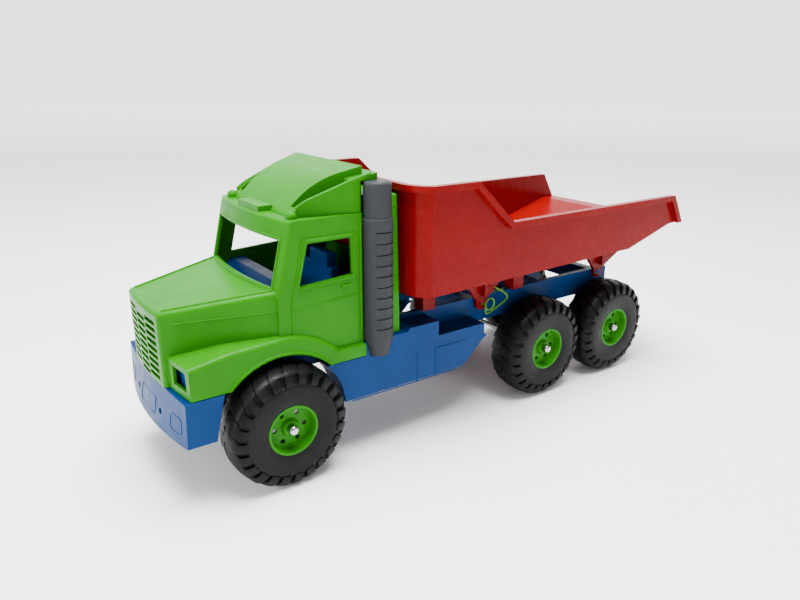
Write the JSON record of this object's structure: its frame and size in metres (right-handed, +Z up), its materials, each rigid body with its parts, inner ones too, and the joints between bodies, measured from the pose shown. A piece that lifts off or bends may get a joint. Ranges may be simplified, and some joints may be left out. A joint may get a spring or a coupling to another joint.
{
  "type": "toy tipper truck",
  "caption": "Toy tipper truck with a bonneted cab, side exhaust stacks, open chassis frame and a tub that tips back on rear hinges.",
  "frame": {"origin": "on the ground, under the middle of the truck's box", "axes": "+Z up, nose towards -Y, driver's left towards +X"},
  "size_m": [0.264, 0.7585, 0.3315],
  "materials": {
    "green_plastic": "moulded, semi-gloss lime green",
    "blue_plastic": "moulded, semi-gloss blue",
    "red_plastic": "moulded, glossy red",
    "grey_plastic": "moulded, satin grey",
    "tyre_black": "blow-moulded, satin black",
    "steel_wire": "drawn rod",
    "cap_chrome": "polished",
    "green_wire": "coated wire",
    "screw_steel": "plated"
  },
  "bodies": {
    "truck": {"chassis": "blue_plastic", "front_bumper": "blue_plastic", "cab_shell": "green_plastic", "roof_fairing": "green_plastic", "cab_rear_panel": "green_plastic", "dashboard": "blue_plastic", "seat": "blue_plastic", "exhaust_stack_left": "grey_plastic", "exhaust_stack_right": "grey_plastic", "front_axle": "steel_wire", "middle_axle": "steel_wire", "rear_axle": "steel_wire", "axle_caps": "cap_chrome", "bumper_screws": "screw_steel"},
    "wheel_front_left": {"tyre_front_left": "tyre_black", "hub_front_left": "green_plastic"},
    "wheel_front_right": {"tyre_front_right": "tyre_black", "hub_front_right": "green_plastic"},
    "wheel_middle_left": {"tyre_middle_left": "tyre_black", "hub_middle_left": "green_plastic"},
    "wheel_middle_right": {"tyre_middle_right": "tyre_black", "hub_middle_right": "green_plastic"},
    "wheel_rear_left": {"tyre_rear_left": "tyre_black", "hub_rear_left": "green_plastic"},
    "wheel_rear_right": {"tyre_rear_right": "tyre_black", "hub_rear_right": "green_plastic"},
    "bed": {"tipper_bed": "red_plastic"},
    "clip": {"lock_clip": "green_wire"}
  },
  "joints": [
    {"name": "front_left_spin", "type": "hinge", "parent": "truck", "child": "wheel_front_left", "pos_m": [0.095, -0.26175, 0.0685], "axis": [1, 0, 0], "continuous": true},
    {"name": "front_right_spin", "type": "hinge", "parent": "truck", "child": "wheel_front_right", "pos_m": [-0.095, -0.26175, 0.0685], "axis": [1, 0, 0], "continuous": true},
    {"name": "middle_left_spin", "type": "hinge", "parent": "truck", "child": "wheel_middle_left", "pos_m": [0.095, 0.12225, 0.0685], "axis": [1, 0, 0], "continuous": true},
    {"name": "middle_right_spin", "type": "hinge", "parent": "truck", "child": "wheel_middle_right", "pos_m": [-0.095, 0.12225, 0.0685], "axis": [1, 0, 0], "continuous": true},
    {"name": "rear_left_spin", "type": "hinge", "parent": "truck", "child": "wheel_rear_left", "pos_m": [0.095, 0.26525, 0.0685], "axis": [1, 0, 0], "continuous": true},
    {"name": "rear_right_spin", "type": "hinge", "parent": "truck", "child": "wheel_rear_right", "pos_m": [-0.095, 0.26525, 0.0685], "axis": [1, 0, 0], "continuous": true},
    {"name": "bed_tip", "type": "hinge", "parent": "truck", "child": "bed", "pos_m": [0, 0.27225, 0.143], "axis": [-1, 0, 0], "range_deg": [0, 45]},
    {"name": "clip_pull", "type": "slide", "parent": "bed", "child": "clip", "axis": [1, 0, 0], "range_m": [-0.0034, 0.01]}
  ]
}
